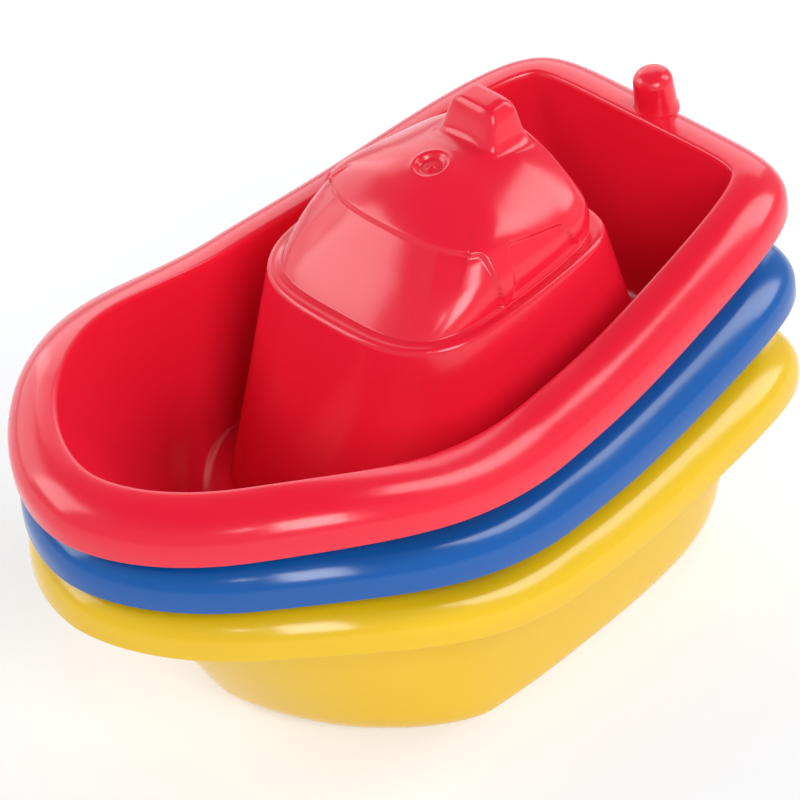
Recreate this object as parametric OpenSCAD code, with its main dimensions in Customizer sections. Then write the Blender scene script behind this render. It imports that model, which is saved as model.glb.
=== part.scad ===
// Three nesting toy tugboats: a blue boat stacked in a yellow one and a red boat in the blue.
// Each boat is one thin moulded shell, drawn as a closed loft: a profile runs from the funnel
// top outward to the rim and back along the underside, and is repeated at stations round the boat.
// Frame: +X bow, +Y port, +Z up, millimetres. The yellow boat stands on z = 0.

/* [Hull] */
// Overall length of one boat
hull_l = 200; // [196:1:240]
// Overall beam over the rim
beam = 124; // [124:1:130]
// Distance of the widest station ahead of the middle
beam_station = 23; // [18:1:28]
// Narrowing of each side between the widest station and the transom
stern_taper = 10.5; // [8:0.5:12]
// Height of the rim's lower edge above the flat bottom, amidships
freeboard = 34; // [32:0.5:37]
// Rise of the rim towards the bow
sheer_bow = 14; // [10:0.5:16]
// Rise of the rim towards the stern
sheer_stern = 5; // [3:0.5:8]
// Wall thickness of the moulding
wall = 1.4; // [1.2:0.1:1.4]

/* [Rim] */
// Width of the rolled rim, outer edge to inner edge
rim_w = 12.5; // [11.5:0.1:12.8]
// Height of the rolled rim above its lower edge
rim_h = 12.1; // [11:0.1:13]
// Height of the upright skirt below the rounding
skirt_h = 3.2; // [2:0.2:5]

/* [Flat bottom] */
// Forward end of the flat bottom, ahead of the middle
bottom_bow = 53.5; // [50:0.5:56]
// Aft end of the flat bottom, behind the middle
bottom_stern = 81; // [78:0.5:82]
// Half width of the flat bottom at its widest
bottom_half = 45.8; // [45.5:0.1:46.4]
// Rounding between the bottom and the hull sides
bilge_r = 9; // [6:0.5:12]

/* [Deckhouse] */
// Forward end of the ledge, ahead of the middle
ledge_bow = 15; // [14:0.1:15.5]
// Aft end of the ledge, behind the middle
ledge_stern = 52.4; // [52.4:0.1:54]
// Half width of the ledge
ledge_half = 33.3; // [33:0.1:34]
// Height of the ledge above the flat bottom
ledge_z = 56; // [55.4:0.1:58]
// Lean of the deckhouse front below the ledge, degrees
front_draft = 19.7; // [18.5:0.1:21]
// Lean of the deckhouse sides below the ledge, degrees
side_draft = 8.2; // [7.8:0.1:8.5]
// Lean of the deckhouse back below the ledge, degrees
back_draft = 10.2; // [9:0.1:11]
// Width of the ledge at the front
ledge_w = 2.8; // [2.5:0.1:3.2]
// Height of the roof above the flat bottom
roof_z = 78.3; // [77:0.1:78.8]
// Distance the windscreen leans back over its height
screen_lean = 21.1; // [19:0.1:22]
// Outward bulge of the wheelhouse walls half way up
bulge = 1.6; // [0.8:0.1:2]
// Rounding of the roof edge
roof_r = 11; // [8:0.5:12]

/* [Funnel] */
// Distance of the funnel's middle behind the boat's middle
funnel_x = 40.2; // [39.5:0.1:40.2]
// Length of the funnel at its foot
funnel_l = 12.4; // [12:0.1:12.6]
// Width of the funnel at its foot
funnel_w = 18; // [16.5:0.5:19]
// Height of the funnel above the roof
funnel_h = 8.2; // [7:0.2:10]

/* [Bollard] */
// Diameter of the bollard at its foot
bollard_d = 10.8; // [9.5:0.1:11.5]
// Diameter of the bollard at its rounded head
bollard_head = 9.2; // [8.6:0.1:9.4]
// Height of the bollard's head above the rim's lower edge
bollard_z = 22.7; // [20:0.1:24]

/* [Stack] */
// Height of each boat above the one below it, at the bow
pitch_bow = 13.2; // [13:0.1:14]
// Height of each boat above the one below it, at the stern
pitch_stern = 25.7; // [25.5:0.1:28]
// Forward shift of each boat over the one below it
stack_shift = 0.3; // [0.2:0.1:0.4]

/* [Hidden] */
stations = 56;
spread = 0.85;
half_l = hull_l / 2;
block_h = ledge_z - wall;
tilt = atan((pitch_stern - pitch_bow) / hull_l);

// Shape of a plan curve: [bow x, stern x, half width, x of widest, fullness fore, fullness aft, taper]
rim_plan = [half_l, -half_l, beam / 2, beam_station, 1.85, 6.5, stern_taper];
bottom_plan = [bottom_bow, -bottom_stern, bottom_half, 20, 1.55, 5.3, 8];
ledge_plan = [ledge_bow, -ledge_stern, ledge_half, -15, 3, 6, 1.5];
foot_plan = [ledge_bow + block_h * tan(front_draft), -ledge_stern - block_h * tan(back_draft),
             ledge_half + block_h * tan(side_draft), -16, 3.4, 4.5, 4];
screen_plan = [ledge_bow - ledge_w, -ledge_stern + 2.8, ledge_half - 2.9, -15, 3.5, 6, 1.5];
roof_plan = [ledge_bow - ledge_w - screen_lean, -ledge_stern + 5, ledge_half - 7.1, -25, 4.2, 7, 1.5];
funnel_foot = [-funnel_x + funnel_l / 2, -funnel_x - funnel_l / 2, funnel_w / 2, -funnel_x, 8, 8, 0];
funnel_top = [-funnel_x + funnel_l / 2 - 3.7, -funnel_x - funnel_l / 2 + 0.9, funnel_w / 2 - 2.1,
              -funnel_x - 1, 5, 5, 0];

// The red bow reaches furthest forward, and the yellow stern furthest aft
middle = (lifted(lifted([half_l, sheer(half_l) + skirt_h]))[0] - half_l) / 2;

function ease(s) = let (c = max(0, min(1, s))) c * c * (3 - 2 * c);
function inset(p, d) = [p[0] - d, p[1] + d, p[2] - d, p[3], p[4], p[5], p[6]];

// Point of a plan curve at station angle a. The angle is spread so that corners get more stations.
function plan(p, a) =
    let (c = cos(a), s = sin(a), fore = c > 0,
         ax = fore ? p[0] - p[3] : p[3] - p[1], n = fore ? p[4] : p[5],
         ux = ax * pow(abs(c), spread), uy = p[2] * pow(abs(s), spread),
         k = pow(pow(ux / ax, n) + pow(uy / p[2], n), -1 / n),
         narrow = fore ? 0 : p[6] / p[2] * ease(ux * k / ax))
    [p[3] + sign(c) * ux * k, sign(s) * uy * k * (1 - narrow)];

// Outward direction of the rim curve at station angle a
function rim_out(a) =
    let (d = plan(rim_plan, a + 0.5) - plan(rim_plan, a - 0.5)) [d[1], -d[0]] / norm(d);

// Height of the rim's lower edge at station x
function sheer(x) =
    freeboard + sheer_bow * ease(x / 78) + sheer_stern * ease((-x - 16) / 79);

// Height of the domed roof
function roof(p) = roof_z - 0.013 * pow(max(0, p[0] + 26), 2)
    - 0.02 * pow(max(0, -p[0] - 38), 2)
    - (0.01 + 0.00034 * max(0, -p[0] - 17)) * p[1] * p[1];

// Point t of the way down a wheelhouse wall, from the roof edge r to the wall's foot s
function wall_at(r, s, t) =
    let (d = [r[0] + s[0] + 40, r[1] + s[1], 0], m = (r + s) / 2 + d * bulge / norm(d))
    r * (1 - t) * (1 - t) + (2 * m - (r + s) / 2) * 2 * t * (1 - t) + s * t * t;

// Place of a point [x, z] of the middle plane after a boat is raised one place up the stack
function lifted(p) =
    let (z = p[1] - freeboard)
    [p[0] * cos(tilt) + z * sin(tilt) + stack_shift,
     z * cos(tilt) - p[0] * sin(tilt) + (pitch_bow + pitch_stern) / 2 + freeboard];

// A profile corner: position, trimmed length each side, number of segments in the rounding
function at(p, z, trim = 0, n = 0) = [[p[0], p[1], z], trim, n];
function rim_at(a, in, up) =
    let (o = plan(rim_plan, a), p = o - rim_out(a) * in) at(p, sheer(o[0]) + up);

function toward(p, q, d) = p + (q - p) * min(d / norm(q - p), 0.46);
function arc(before, c, after) =
    c[2] == 0 ? [c[0]]
    : let (p = toward(c[0], before[0], c[1]), q = toward(c[0], after[0], c[1]))
      [for (k = [0:c[2]]) let (t = k / c[2]) p * (1 - t) * (1 - t) + c[0] * 2 * t * (1 - t) + q * t * t];

// Profile corners of the upper surface at station a, funnel top first
function upper(a) =
    let (f0 = plan(funnel_top, a), f1 = plan(funnel_foot, a), r = plan(roof_plan, a),
         m = f1 + (r - f1) * 0.5, s = plan(screen_plan, a), edge = rim_w - wall,
         eave = [r[0], r[1], roof(r)], sill = [s[0], s[1], ledge_z],
         ring = rim_at(a, rim_w, rim_h))
    [at([-funnel_x, 0], roof_z + funnel_h),
     at(f0, roof_z + funnel_h, 3.4, 3),
     at(f1, roof(f1), 2.2, 2),
     at(m, roof(m)),
     [eave, roof_r, 4],
     [wall_at(eave, sill, 0.375), 0, 0],
     [wall_at(eave, sill, 0.6), 0, 0],
     [wall_at(eave, sill, 0.8), 0, 0],
     [sill, 1.2, 1],
     at(plan(ledge_plan, a), ledge_z, 1.6, 2),
     at(plan(foot_plan, a), wall, 2.2, 2),
     at(plan(inset(bottom_plan, wall), a), wall, bilge_r - wall, 3),
     [ring[0], 1.8, 2],
     for (k = [0:6]) let (t = 90 - 15 * k)
         rim_at(a, edge * (1 - cos(t)), skirt_h + (rim_h - skirt_h) * sin(t)),
     rim_at(a, 0, 0)];

// Profile corners of the underside at station a, rim first
function under(a) =
    let (f0 = plan(inset(funnel_top, wall), a), f1 = plan(inset(funnel_foot, wall), a),
         r = plan(inset(roof_plan, wall), a), m = f1 + (r - f1) * 0.5,
         s = plan(inset(screen_plan, wall), a), edge = rim_w - wall,
         eave = [r[0], r[1], roof(r) - wall], sill = [s[0], s[1], ledge_z - wall],
         ring = rim_at(a, edge, rim_h - wall))
    [rim_at(a, wall, 0),
     for (k = [0:4]) let (t = 17 * k)
         rim_at(a, wall + (edge - wall) * (1 - cos(t)), skirt_h + (rim_h - skirt_h - wall) * sin(t)),
     [ring[0], 0.8, 1],
     at(plan(bottom_plan, a), 0, bilge_r, 3),
     at(plan(inset(foot_plan, wall), a), 0, 1.6, 2),
     at(plan(inset(ledge_plan, wall), a), ledge_z - wall, 0.8, 1),
     [sill, 1.6, 1],
     [wall_at(eave, sill, 0.7), 0, 0],
     [wall_at(eave, sill, 0.375), 0, 0],
     [eave, roof_r - wall, 3],
     at(m, roof(m) - wall),
     at(f1, roof(f1) - wall, 1.2, 1),
     at(f0, roof_z + funnel_h - wall, 1.8, 2),
     at([-funnel_x, 0], roof_z + funnel_h - wall)];

function profile(a) =
    let (c = concat(upper(a), under(a)), last = len(c) - 1)
    [for (i = [1:last - 1]) each arc(c[i - 1], c[i], c[i + 1])];

module shell() {
    rows = [for (i = [0:stations - 1]) profile(360 * i / stations)];
    n = len(rows[0]);
    top = stations * n;
    points = concat([for (row = rows) each row],
                    [[-funnel_x, 0, roof_z + funnel_h], [-funnel_x, 0, roof_z + funnel_h - wall]]);
    faces = [
        for (i = [0:stations - 1]) let (j = (i + 1) % stations) each [
            [top, j * n, i * n],
            [top + 1, i * n + n - 1, j * n + n - 1],
            for (k = [0:n - 2]) each [
                [i * n + k, j * n + k + 1, i * n + k + 1],
                [i * n + k, j * n + k, j * n + k + 1]]]];
    polyhedron(points, faces, convexity = 8);
}

// Upright post with a domed head, z measured from the rim's lower edge at the transom
module post(foot, head, from, to, dome) {
    rotate_extrude($fn = 32)
        polygon([[0, from], [foot / 2, from], [head / 2, to - dome],
                 for (t = [18:18:72]) [head / 2 * cos(t), to - dome + dome * sin(t)], [0, to]]);
}

module boat() {
    difference() {
        union() {
            shell();
            translate([-half_l + 5.9, 0, sheer(-half_l)])
                post(bollard_d, bollard_head, 8, bollard_z, 3.4);
        }
        translate([-half_l + 5.9, 0, sheer(-half_l)])
            post(bollard_d - 2 * wall, bollard_head - 2 * wall, 5, bollard_z - wall, 2.4);
        translate([-23.2, 0, roof_z + 5.3])
            sphere(r = 6.2, $fn = 40);
    }
}

// Lifts and tips a boat one place up the stack
module raised() {
    translate([stack_shift, 0, (pitch_bow + pitch_stern) / 2 + freeboard])
        rotate([0, tilt, 0])
            translate([0, 0, -freeboard])
                children();
}

// Puts the middle of the whole stack on the origin
module centred() {
    translate([-middle, 0, 0])
        children();
}

module yellow_boat() color([0.96, 0.78, 0.05]) centred() boat();
module blue_boat() color([0.05, 0.32, 0.7]) centred() raised() boat();
module red_boat() color([0.9, 0.07, 0.14]) centred() raised() raised() boat();

yellow_boat();
blue_boat();
red_boat();
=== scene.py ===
"""Looks for a nested stack of three toy tugboats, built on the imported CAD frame.

Each boat is one smooth moulded shell made from the same plan curves as the CAD, with finer rounding,
the recessed windows, the gate mark on the roof and the soft fillets that the CAD leaves out.
Lengths in the helper functions are millimetres; the finished meshes are in metres.
"""
import math

import bpy
import numpy as np
from mathutils import Matrix, Vector

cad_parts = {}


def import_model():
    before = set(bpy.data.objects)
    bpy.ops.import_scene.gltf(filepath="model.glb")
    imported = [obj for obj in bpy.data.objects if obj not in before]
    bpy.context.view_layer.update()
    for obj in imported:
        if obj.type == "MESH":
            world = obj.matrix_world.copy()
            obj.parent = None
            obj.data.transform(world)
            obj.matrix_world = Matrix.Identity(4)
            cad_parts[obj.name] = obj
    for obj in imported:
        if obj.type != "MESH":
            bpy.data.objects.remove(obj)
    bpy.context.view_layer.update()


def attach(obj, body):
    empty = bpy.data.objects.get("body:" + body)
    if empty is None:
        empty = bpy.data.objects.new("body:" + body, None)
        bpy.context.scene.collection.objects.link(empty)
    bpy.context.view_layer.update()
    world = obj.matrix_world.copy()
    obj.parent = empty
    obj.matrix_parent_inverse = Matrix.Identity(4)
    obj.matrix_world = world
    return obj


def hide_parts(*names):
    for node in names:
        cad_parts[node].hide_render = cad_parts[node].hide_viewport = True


# ---------------------------------------------------------------- dimensions, as in the CAD
HALF_L = 100.0
BEAM = 124.0
FREEBOARD = 34.0
SHEER_BOW = 14.0
SHEER_STERN = 5.0
WALL = 1.4
RIM_W = 12.5
RIM_H = 12.1
SKIRT_H = 3.2
BILGE_R = 9.0
LEDGE_Z = 56.0
ROOF_Z = 78.3
BULGE = 1.6
FUNNEL_X = -40.2
# A hair under the CAD's 8.2, so that the looks stay inside its box
FUNNEL_H = 8.17
BOLLARD_X = -HALF_L + 5.9
# The bollard is a little lower and less tapered than the CAD's
BOLLARD_FOOT = 10.4
BOLLARD_HEAD = 9.7
BOLLARD_Z = 22.1
PITCH_BOW = 13.2
PITCH_STERN = 25.7
STACK_SHIFT = 0.3
# The looks stay this far inside the coarser outline of the CAD's rim
RIM_EASE = 0.06

BLOCK_H = LEDGE_Z - WALL
TILT = math.atan((PITCH_STERN - PITCH_BOW) / (2 * HALF_L))
FRONT = math.tan(math.radians(19.7))
SIDE = math.tan(math.radians(8.2))
BACK = math.tan(math.radians(10.2))

# Plan curves: bow x, stern x, half width, x of widest, fullness fore, fullness aft, taper
RIM = (HALF_L, -HALF_L, BEAM / 2, 23, 1.85, 6.5, 10.5)
BOTTOM = (53.5, -81, 45.8, 20, 1.55, 5.3, 8)
LEDGE = (15, -52.4, 33.3, -15, 3, 6, 1.5)
FOOT = (15 + BLOCK_H * FRONT, -52.4 - BLOCK_H * BACK, 33.3 + BLOCK_H * SIDE, -16, 3.4, 4.5, 4)
SCREEN = (12.2, -49.6, 30.4, -15, 3.5, 6, 1.5)
ROOF = (-8.9, -47.4, 26.2, -25, 4.2, 7, 1.5)
FUNNEL_FOOT = (-34.0, -46.4, 9, FUNNEL_X, 8, 8, 0)
FUNNEL_TOP = (-37.7, -45.5, 6.9, FUNNEL_X - 1, 5, 5, 0)

STATIONS = 400
SPREAD = 0.85

# Recesses of the windows, in the boat's own millimetres
WINDOW_DEPTH = 0.9
WINDOW_TOP = 71.9
WINDOW_ARCH = 0.0033
WINDOW_BACK = -13.3
SIDE_WINDOW = ((-20.3, 68.9), (-37.1, 64.3), (-39.2, 56.9), (-16.6, 56.9))
GATE_X = -23.2
GATE_R = 4.2
GATE_DEPTH = 1.5

# The wheelhouse wall bulges away from this point, and its brow ends this far down the wall
HOUSE_CENTRE = np.array((-20.0, 0.0))
BROW_TRIM = 11.0
BROW_END = 0.375

BOLLARD_SEGMENTS = 64

# Camera: azimuth, elevation and roll in degrees, then metres, then the lens in millimetres
CAMERA_TURN = (138.192, 34.825, -3.051)
CAMERA_TARGET = (-0.028297, -0.027350, 0.034)
CAMERA_DISTANCE = 1.4958
CAMERA_LENS = 277.1483


# ---------------------------------------------------------------- plan curves and profile
def ease(s):
    """Smooth step from 0 to 1."""
    c = np.clip(s, 0, 1)
    return c * c * (3 - 2 * c)


def inset(p, d):
    """Plan curve moved inward by d."""
    return (p[0] - d, p[1] + d, p[2] - d) + tuple(p[3:])


def plan(p, a):
    """Points of a plan curve at station angles a, in radians."""
    c = np.cos(a)
    s = np.sin(a)
    fore = c > 0
    ax = np.where(fore, p[0] - p[3], p[3] - p[1])
    n = np.where(fore, p[4], p[5])
    ux = ax * np.abs(c) ** SPREAD
    uy = p[2] * np.abs(s) ** SPREAD
    k = ((ux / ax) ** n + (uy / p[2]) ** n) ** (-1 / n)
    narrow = np.where(fore, 0, p[6] / p[2] * ease(ux * k / ax))
    return np.stack([p[3] + np.sign(c) * ux * k, np.sign(s) * uy * k * (1 - narrow)], axis=1)


def rim_plan(a):
    """Outer edge of the rim, eased where its fore and aft curves meet at the widest station."""
    width = math.radians(9) * np.exp(-(((np.abs(np.sin(a)) - 1) / 0.05) ** 2))
    shares = ((-1, 0.06), (-0.5, 0.24), (0, 0.4), (0.5, 0.24), (1, 0.06))
    return sum(plan(RIM, a + width * side) * share for side, share in shares)


def rim_out(a):
    """Outward direction of the rim curve."""
    step = math.radians(1.0)
    d = rim_plan(a + step) - rim_plan(a - step)
    out = np.stack([d[:, 1], -d[:, 0]], axis=1)
    return out / np.linalg.norm(out, axis=1, keepdims=True)


def sheer(x):
    """Height of the rim's lower edge."""
    return FREEBOARD + SHEER_BOW * ease(x / 78) + SHEER_STERN * ease((-x - 16) / 79)


def roof(p):
    """Height of the domed roof."""
    fore = np.maximum(0, p[:, 0] + 26)
    aft = np.maximum(0, -p[:, 0] - 38)
    sideways = 0.01 + 0.00034 * np.maximum(0, -p[:, 0] - 17)
    return ROOF_Z - 0.013 * fore**2 - 0.02 * aft**2 - sideways * p[:, 1] ** 2


def lift(p, z):
    """Plan points as a ring at height z."""
    return np.column_stack([p, np.broadcast_to(z, len(p))])


def wall_at(eave, sill, t):
    """Ring a part t of the way down the bulged wheelhouse wall."""
    out = eave[:, :2] + sill[:, :2] - 2 * HOUSE_CENTRE
    out = lift(out / np.linalg.norm(out, axis=1, keepdims=True), 0.0)
    handle = (eave + sill) / 2 + 2 * BULGE * out
    return eave * (1 - t) ** 2 + handle * 2 * t * (1 - t) + sill * t**2


def rim_at(a, inward, up):
    """Ring of the rim's section: inward from its outer edge, up from its lower edge."""
    o = rim_plan(a)
    return lift(o - rim_out(a) * (inward + RIM_EASE), sheer(o[:, 0]) + up)


def toward(p, q, d):
    """Point of each run p to q at distance d from p, and never past its middle."""
    gap = q - p
    length = np.linalg.norm(gap, axis=1, keepdims=True)
    return p + gap * np.minimum(d / length, 0.46)


def rounded(before, corner, after, trim, n):
    """Rings of the rounding of one corner, as a quadratic curve from side to side."""
    if n == 0:
        return [corner]
    p = toward(corner, before, trim)
    q = toward(corner, after, trim)
    steps = np.linspace(0, 1, n + 1)
    return [p * (1 - t) ** 2 + corner * 2 * t * (1 - t) + q * t**2 for t in steps]


def chain(corners):
    """Rings through a list of corners, the first and last left out.

    Each corner is (points, trim, rounding segments, segments of the run after it).
    """
    rings = []
    for i in range(1, len(corners) - 1):
        ring, trim, n, _ = corners[i]
        made = rounded(corners[i - 1][0], ring, corners[i + 1][0], trim, n)
        runs = corners[i - 1][3] if i > 1 else 1
        if rings and runs > 1:
            last = rings[-1]
            rings += [last + (made[0] - last) * k / runs for k in range(1, runs)]
        rings += made
    return rings


def roof_rings(a, first, last, count):
    """Rings over the domed roof between two given rings, both left out."""
    made = []
    for k in range(1, count):
        p = first[:, :2] + (last[:, :2] - first[:, :2]) * k / count
        blend = ease(k / 3)
        straight = first[:, 2] + (last[:, 2] - first[:, 2]) * k / count
        made.append(lift(p, straight + (roof(p) - straight) * blend))
    return made


def window_top(y):
    """Height of the top edge of the windscreen and its quarter windows."""
    return WINDOW_TOP - WINDOW_ARCH * y**2


def ring_at_heights(line, z):
    """Ring where each station's line down the wall passes its own height z."""
    ring = np.empty_like(line[0])
    for i in range(len(z)):
        drop = -line[:, i, 2]
        ring[i] = [np.interp(-z[i], drop, line[:, i, axis]) for axis in range(3)]
    return ring


def wheelhouse_rings(before, eave, sill):
    """Rings from the roof edge down the wall, level with each other from the window tops down."""
    share = np.minimum(BROW_TRIM / np.linalg.norm(before - eave, axis=1, keepdims=True), 0.46)
    start = eave[:, :2] + (before - eave)[:, :2] * share
    step = (eave[:, :2] - start) * 0.1
    start = lift(start, roof(start))
    handle = start + lift(step, roof(start[:, :2] + step) - start[:, 2]) * 10
    steps = np.linspace(0, 1, 25)
    end = toward(handle, wall_at(eave, sill, BROW_END), BROW_TRIM)
    brow = [start * (1 - t) ** 2 + handle * 2 * t * (1 - t) + end * t**2 for t in steps]
    wall = [wall_at(eave, sill, t) for t in np.linspace(BROW_END, 1, 40)]
    line = np.array(brow + wall[1:])
    kept = 12
    start_z = line[kept - 1, :, 2]
    top = np.minimum(window_top(wall[0][:, 1]), start_z - 0.5)
    edge = 0.15
    levels = [start_z + (top + edge - start_z) * k for k in np.linspace(0, 1, 9)[1:]]
    levels += [top - edge + (LEDGE_Z - top + edge) * k for k in np.linspace(0, 1, 36)]
    return list(line[:kept]) + [ring_at_heights(line, z) for z in levels]


def rim_arch(a, inner, height, start_deg, end_deg, count):
    """Corners along the rim's rounded section, from one angle of it to another."""
    corners = []
    for t in np.radians(np.linspace(start_deg, end_deg, count)):
        inward = inner + (RIM_W - WALL - inner) * (1 - math.cos(t))
        up = SKIRT_H + (height - SKIRT_H) * math.sin(t)
        corners.append((rim_at(a, inward, up), 0, 0, 1))
    return corners


def funnel_centre(a, z):
    return lift(np.tile([[FUNNEL_X, 0.0]], (len(a), 1)), z)


def upper_rings(a):
    """Rings of the upper surface, from the funnel top outward to the rim's lower edge."""
    f0 = plan(FUNNEL_TOP, a)
    f1 = plan(FUNNEL_FOOT, a)
    r = plan(ROOF, a)
    mid = f1 + (r - f1) * 0.5
    eave = lift(r, roof(r))
    sill = lift(plan(SCREEN, a), LEDGE_Z)
    wall = wheelhouse_rings(lift(mid, roof(mid)), eave, sill)
    funnel = chain([
        (funnel_centre(a, ROOF_Z + FUNNEL_H), 0, 0, 1),
        (lift(f0, ROOF_Z + FUNNEL_H), 4.2, 9, 4),
        (lift(f1, roof(f1)), 2.2, 6, 1),
        (lift(mid, roof(mid)), 0, 0, 1),
    ])
    house = chain([
        (wall[-3], 0, 0, 1),
        (wall[-2], 0, 0, 1),
        (sill, 0.7, 3, 3),
        (lift(plan(LEDGE, a), LEDGE_Z), 1.5, 6, 9),
        (lift(plan(FOOT, a), WALL), 1.0, 5, 4),
        (lift(plan(inset(BOTTOM, WALL), a), WALL), BILGE_R - WALL, 10, 9),
        (rim_at(a, RIM_W, RIM_H), 2.0, 6, 1),
        *rim_arch(a, 0, RIM_H, 90, 0, 19),
        (rim_at(a, 0, 0), 0.5, 3, 1),
        (rim_at(a, WALL, 0), 0, 0, 1),
    ])
    return funnel + roof_rings(a, funnel[-1], wall[0], 30) + wall[:-2] + house


def under_rings(a):
    """Rings of the underside, from the rim inward to the funnel."""
    f0 = plan(inset(FUNNEL_TOP, WALL), a)
    f1 = plan(inset(FUNNEL_FOOT, WALL), a)
    r = plan(inset(ROOF, WALL), a)
    mid = f1 + (r - f1) * 0.5
    eave = lift(r, roof(r) - WALL)
    sill = lift(plan(inset(SCREEN, WALL), a), LEDGE_Z - WALL)
    return chain([
        (rim_at(a, 0, 0), 0, 0, 1),
        (rim_at(a, WALL, 0), 0.3, 2, 1),
        *rim_arch(a, WALL, RIM_H - WALL, 0, 68, 7),
        (rim_at(a, RIM_W - WALL, RIM_H - WALL), 0.8, 1, 4),
        (lift(plan(BOTTOM, a), 0.0), BILGE_R, 8, 1),
        (lift(plan(inset(FOOT, WALL), a), 0.0), 1.6, 3, 3),
        (lift(plan(inset(LEDGE, WALL), a), LEDGE_Z - WALL), 0.8, 2, 1),
        (sill, 1.6, 2, 1),
        (wall_at(eave, sill, 0.7), 0, 0, 1),
        (wall_at(eave, sill, BROW_END), 0, 0, 1),
        (eave, 9.6, 4, 1),
        (lift(mid, roof(mid) - WALL), 0, 0, 1),
        (lift(f1, roof(f1) - WALL), 1.2, 2, 1),
        (lift(f0, ROOF_Z + FUNNEL_H - WALL), 1.8, 2, 1),
        (funnel_centre(a, ROOF_Z + FUNNEL_H - WALL), 0, 0, 1),
    ])


# ---------------------------------------------------------------- moulded details
def ring_normals(grid):
    """Outward normals of a grid of rings, rows by stations by 3."""
    along = np.gradient(grid, axis=0)
    around = np.roll(grid, -1, axis=1) - np.roll(grid, 1, axis=1)
    n = np.cross(around, along)
    return -n / np.maximum(np.linalg.norm(n, axis=2, keepdims=True), 1e-9)


def smin(a, b, r):
    """Smooth minimum, which rounds the corners of a mask."""
    h = np.clip(0.5 + 0.5 * (b - a) / r, 0, 1)
    return b + (a - b) * h - r * h * (1 - h)


def screen_inside(p):
    """Distance inside the edge of the windscreen and its quarter windows."""
    top = window_top(p[..., 1]) - p[..., 2]
    back = p[..., 0] - WINDOW_BACK
    return smin(top, back, 0.8)


def crease(p):
    """Ridge between the windscreen and each quarter window, fading out towards the ledge."""
    line = 17.5 + (70.6 - p[..., 2]) * 0.6
    near = np.clip(1 - np.abs(np.abs(p[..., 1]) - line) / 5.5, 0, 1)
    return 0.45 * near**2 * ease((p[..., 2] - 59) / 7)


def side_inside(p):
    """Distance inside the edge of a side window, the same to port and starboard."""
    inside = None
    for i, (x0, z0) in enumerate(SIDE_WINDOW):
        x1, z1 = SIDE_WINDOW[(i + 1) % len(SIDE_WINDOW)]
        dx, dz = x1 - x0, z1 - z0
        d = ((p[..., 2] - z0) * dx - (p[..., 0] - x0) * dz) / math.hypot(dx, dz)
        inside = d if inside is None else smin(inside, d, 1.2)
    return np.where(np.abs(p[..., 1]) > 20, inside, -9.0)


def carve_windows(grid):
    """Sets the windscreen, quarter windows and side windows into the deckhouse walls."""
    edge_width = 0.42
    inside = np.maximum(screen_inside(grid), side_inside(grid))
    depth = (WINDOW_DEPTH - crease(grid)) * ease(inside / edge_width + 0.5)
    x, y, z = grid[..., 0], grid[..., 1], grid[..., 2]
    from_centre = np.hypot(x - HOUSE_CENTRE[0], y)
    wheelhouse = (z > LEDGE_Z + 0.3) & (np.abs(y) < 34) & (x < 16) & (from_centre > 9)
    return grid - ring_normals(grid) * (depth * wheelhouse)[..., None]


def sink_gate(grid):
    """The round gate mark on the roof: a shallow dish with a small nub in its middle."""
    r = np.hypot(grid[..., 0] - GATE_X, grid[..., 1])
    roof_part = grid[..., 2] > ROOF_Z - 6
    dish = GATE_DEPTH * ease((GATE_R - r) / 1.5)
    nub = 0.7 * ease((1.2 - r) / 0.8)
    lip = 0.12 * np.exp(-(((r - GATE_R - 0.3) / 0.5) ** 2))
    out = grid.copy()
    out[..., 2] += np.where(roof_part, lip + nub - dish, 0)
    return out


def bollard():
    """Rings of the stern bollard, flared at its foot into the rim, and the point at its tip."""
    t = np.linspace(0, 2 * math.pi, BOLLARD_SEGMENTS, endpoint=False)
    base = float(sheer(np.array([-HALF_L]))[0])
    foot = BOLLARD_FOOT / 2
    head = BOLLARD_HEAD / 2
    dome = 3.4
    rim_top = RIM_H - 0.4
    shaft = rim_top + 1.4
    sizes = [
        (foot + 0.45, rim_top - 1.2),
        (foot + 0.35, rim_top - 0.1),
        (foot + 0.1, rim_top + 0.6),
        (foot, shaft),
    ]
    for s in np.arange(1, 7) / 7:
        sizes.append((foot + (head - foot) * s, shaft + (BOLLARD_Z - dome - shaft) * s))
    for k in np.radians(np.linspace(0, 86, 14)):
        sizes.append((head * math.cos(k) ** 0.7, BOLLARD_Z - dome + dome * math.sin(k)))
    rings = []
    for r, z in sizes:
        circle = np.column_stack([BOLLARD_X + r * np.cos(t), r * np.sin(t)])
        rings.append(lift(circle, base + z))
    return rings, np.array([[BOLLARD_X, 0, base + BOLLARD_Z]])


# ---------------------------------------------------------------- meshes
def tube_faces(rows, columns, start):
    """Quads between successive rings, wound so that they face outward when rings run outward and down."""
    r, c = np.meshgrid(np.arange(rows - 1), np.arange(columns), indexing="ij")
    nxt = (c + 1) % columns
    here = r * columns
    below = (r + 1) * columns
    quads = np.stack([here + c, below + c, below + nxt, here + nxt], axis=2)
    return quads.reshape(-1, 4) + start


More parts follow.
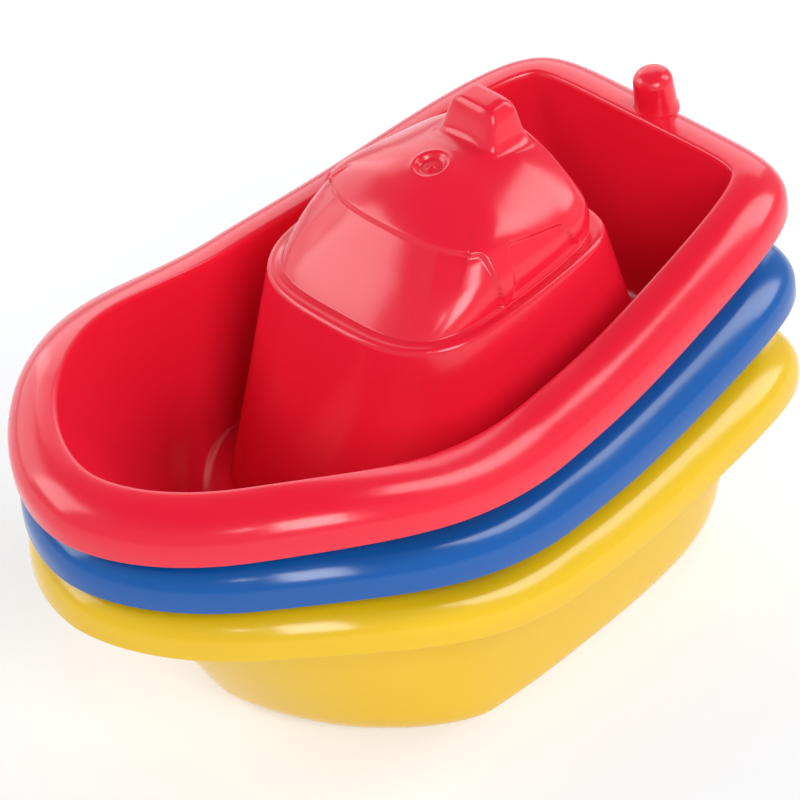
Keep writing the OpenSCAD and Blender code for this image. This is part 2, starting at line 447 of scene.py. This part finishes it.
def boat_shape():
    """Vertices in millimetres and faces of one boat standing level."""
    a = 2 * math.pi * np.arange(STATIONS) / STATIONS
    upper = np.array(upper_rings(a))
    upper = sink_gate(carve_windows(upper))
    grid = np.concatenate([upper, np.array(under_rings(a))])
    rows = len(grid)
    crown_z = ROOF_Z + FUNNEL_H
    points = [grid.reshape(-1, 3), [[FUNNEL_X, 0, crown_z], [FUNNEL_X, 0, crown_z - WALL]]]
    faces = [tuple(q) for q in tube_faces(rows, STATIONS, 0)]
    top = rows * STATIONS
    last = (rows - 1) * STATIONS
    for i in range(STATIONS):
        j = (i + 1) % STATIONS
        faces.append((top, i, j))
        faces.append((top + 1, last + j, last + i))
    post, tip = bollard()
    start = top + 2
    points += [np.concatenate(post), tip]
    quads = tube_faces(len(post), BOLLARD_SEGMENTS, start)[:, ::-1]
    faces += [tuple(q) for q in quads]
    tip_index = start + len(post) * BOLLARD_SEGMENTS
    edge = tip_index - BOLLARD_SEGMENTS
    for i in range(BOLLARD_SEGMENTS):
        faces.append((edge + i, edge + (i + 1) % BOLLARD_SEGMENTS, tip_index))
    return np.concatenate(points), faces


def raised(times):
    """Place of a boat that many places up the stack, in metres."""
    up = (PITCH_BOW + PITCH_STERN) / 2 + FREEBOARD
    bow = Vector((HALF_L / 1000, 0, (FREEBOARD + SHEER_BOW + SKIRT_H) / 1000))
    one = (
        Matrix.Translation((STACK_SHIFT / 1000, 0, up / 1000))
        @ Matrix.Rotation(TILT, 4, "Y")
        @ Matrix.Translation((0, 0, -FREEBOARD / 1000))
    )
    middle = ((one @ one @ bow).x - bow.x) / 2
    place = Matrix.Translation((-middle, 0, 0))
    for _ in range(times):
        place = place @ one
    return place


def add_boat(name, shape, times, body, material):
    """Adds one boat at its place in the stack, parents it to its body and hides its CAD node."""
    points, faces = shape
    mesh = bpy.data.meshes.new(name)
    mesh.from_pydata((points / 1000).tolist(), [], faces)
    mesh.shade_smooth()
    mesh.transform(raised(times))
    mesh.materials.append(material)
    boat = bpy.data.objects.new(name + "_look", mesh)
    bpy.context.scene.collection.objects.link(boat)
    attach(boat, body)
    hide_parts(name)
    return boat


# ---------------------------------------------------------------- materials
def node(tree, kind, **values):
    """New shader node with the given settings."""
    made = tree.nodes.new(kind)
    for key, value in values.items():
        setattr(made, key, value)
    return made


def noise(tree, vector, scale, detail):
    """Output of a noise texture laid over the given coordinates."""
    made = node(tree, "ShaderNodeTexNoise")
    made.inputs["Scale"].default_value = scale
    made.inputs["Detail"].default_value = detail
    tree.links.new(vector, made.inputs["Vector"])
    return made.outputs["Fac"]


def ranged(tree, value, source, target):
    """Output of a map from one range of values to another."""
    made = node(tree, "ShaderNodeMapRange")
    made.inputs["From Min"].default_value = source[0]
    made.inputs["From Max"].default_value = source[1]
    made.inputs["To Min"].default_value = target[0]
    made.inputs["To Max"].default_value = target[1]
    tree.links.new(value, made.inputs["Value"])
    return made.outputs["Result"]


def plastic(name, colour, deep, seed):
    """Glossy moulded plastic: faint flow mottling, fine orange peel, a few rubbed places."""
    material = bpy.data.materials.new(name)
    material.use_nodes = True
    tree = material.node_tree
    link = tree.links.new
    shader = tree.nodes["Principled BSDF"]
    shader.inputs["IOR"].default_value = 1.5
    shader.inputs["Specular IOR Level"].default_value = 0.5

    place = node(tree, "ShaderNodeTexCoord")
    shift = node(tree, "ShaderNodeMapping")
    shift.inputs["Location"].default_value = (seed, seed * 0.7, seed * 1.3)
    link(place.outputs["Object"], shift.inputs["Vector"])

    coordinates = shift.outputs["Vector"]
    flow = noise(tree, coordinates, 26, 3)
    tint = node(tree, "ShaderNodeMix", data_type="RGBA")
    tint.inputs["A"].default_value = (*deep, 1)
    tint.inputs["B"].default_value = (*colour, 1)
    link(ranged(tree, flow, (0.25, 0.6), (0.8, 1.0)), tint.inputs["Factor"])
    link(tint.outputs["Result"], shader.inputs["Base Color"])

    rub = noise(tree, coordinates, 60, 5)
    link(ranged(tree, rub, (0.3, 0.75), (0.16, 0.23)), shader.inputs["Roughness"])

    peel = noise(tree, coordinates, 420, 2)
    bump = node(tree, "ShaderNodeBump")
    bump.inputs["Strength"].default_value = 0.04
    bump.inputs["Distance"].default_value = 0.0004
    link(peel, bump.inputs["Height"])
    link(bump.outputs["Normal"], shader.inputs["Normal"])
    return material


# ---------------------------------------------------------------- stage, light and camera
def floor():
    """Pale floor just under the boats."""
    size = 4.0
    mesh = bpy.data.meshes.new("floor")
    corners = [(-size, -size, 0), (size, -size, 0), (size, size, 0), (-size, size, 0)]
    mesh.from_pydata(corners, [], [(0, 1, 2, 3)])
    ground = bpy.data.objects.new("floor", mesh)
    ground.location.z = -0.0002
    material = bpy.data.materials.new("pale_floor")
    material.use_nodes = True
    shader = material.node_tree.nodes["Principled BSDF"]
    shader.inputs["Base Color"].default_value = (0.56, 0.56, 0.57, 1)
    shader.inputs["Roughness"].default_value = 0.9
    shader.inputs["Emission Color"].default_value = (1, 1, 1, 1)
    shader.inputs["Emission Strength"].default_value = 0.42
    mesh.materials.append(material)
    bpy.context.scene.collection.objects.link(ground)


def softbox(name, place, target, size, power, size_y=None):
    """Area light at a place in metres, aimed at the target, square unless size_y is given."""
    data = bpy.data.lights.new(name, "AREA")
    data.energy = power
    data.shape = "RECTANGLE"
    data.size = size
    data.size_y = size_y or size
    lamp = bpy.data.objects.new(name, data)
    lamp.location = place
    lamp.rotation_euler = (Vector(target) - Vector(place)).to_track_quat("-Z", "Y").to_euler()
    bpy.context.scene.collection.objects.link(lamp)
    return lamp


def camera_axes():
    """Right, up and back directions of the camera."""
    azimuth, elevation, roll = (math.radians(v) for v in CAMERA_TURN)
    back = Vector((
        math.sin(azimuth) * math.cos(elevation),
        -math.cos(azimuth) * math.cos(elevation),
        math.sin(elevation),
    ))
    right = (-back).cross(Vector((0, 0, 1))).normalized()
    up = right.cross(-back)
    tilted_right = right * math.cos(roll) + up * math.sin(roll)
    tilted_up = up * math.cos(roll) - right * math.sin(roll)
    return tilted_right, tilted_up, back


def camera():
    """Camera at the photo's angle."""
    right, up, back = camera_axes()
    data = bpy.data.cameras.new("camera")
    data.sensor_width = 36
    data.lens = CAMERA_LENS
    eye = bpy.data.objects.new("camera", data)
    turn = Matrix((right, up, back)).transposed().to_4x4()
    eye.matrix_world = Matrix.Translation(Vector(CAMERA_TARGET) + back * CAMERA_DISTANCE) @ turn
    bpy.context.scene.collection.objects.link(eye)
    bpy.context.scene.camera = eye


def studio():
    """World that is bright along the horizon and dark overhead, so that deep wells fall into shade."""
    world = bpy.data.worlds.new("studio")
    world.use_nodes = True
    tree = world.node_tree
    link = tree.links.new
    place = node(tree, "ShaderNodeTexCoord")
    split = node(tree, "ShaderNodeSeparateXYZ")
    link(place.outputs["Generated"], split.inputs["Vector"])
    background = tree.nodes["Background"]
    background.inputs["Color"].default_value = (0.82, 0.91, 1, 1)
    strength = ranged(tree, split.outputs["Z"], (0.45, 0.9), (0.62, 0.12))
    link(strength, background.inputs["Strength"])
    return world


def lighting():
    bpy.context.scene.world = studio()
    softbox("left_box", (0.88, -1.05, 0.8), (0, 0, 0.08), 0.8, 7.8)
    softbox("left_wall", (0.1, -1.6, 0.6), (0, 0, 0.08), 1.4, 5.2, 0.9)
    softbox("right_strip", (-1.0, 0.5, 0.95), (-0.02, 0.02, 0.08), 0.5, 8.6, 1.1)
    softbox("backdrop", (-1.1, -1.2, 0.9), (0, 0, 0.05), 2.0, 12, 1.2)
    softbox("key", (0.55, 1.4, 1.0), (0, 0, 0.06), 0.8, 17.5)
    softbox("glint", (0.95, 0.75, 0.95), (0, 0, 0.06), 0.1, 0.6)


def main():
    """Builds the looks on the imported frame."""
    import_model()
    shape = boat_shape()
    yellow = plastic("yellow", (0.77, 0.47, 0.006), (0.71, 0.415, 0.004), 1.0)
    blue = plastic("blue", (0.0, 0.085, 0.34), (0.0, 0.068, 0.29), 4.0)
    red = plastic("red", (0.78, 0.011, 0.034), (0.71, 0.008, 0.028), 7.0)
    add_boat("yellow_boat", shape, 0, "yellow", yellow)
    add_boat("blue_boat", shape, 1, "blue", blue)
    add_boat("red_boat", shape, 2, "red", red)
    floor()
    lighting()
    camera()
    bpy.context.scene.view_settings.view_transform = "Standard"


main()
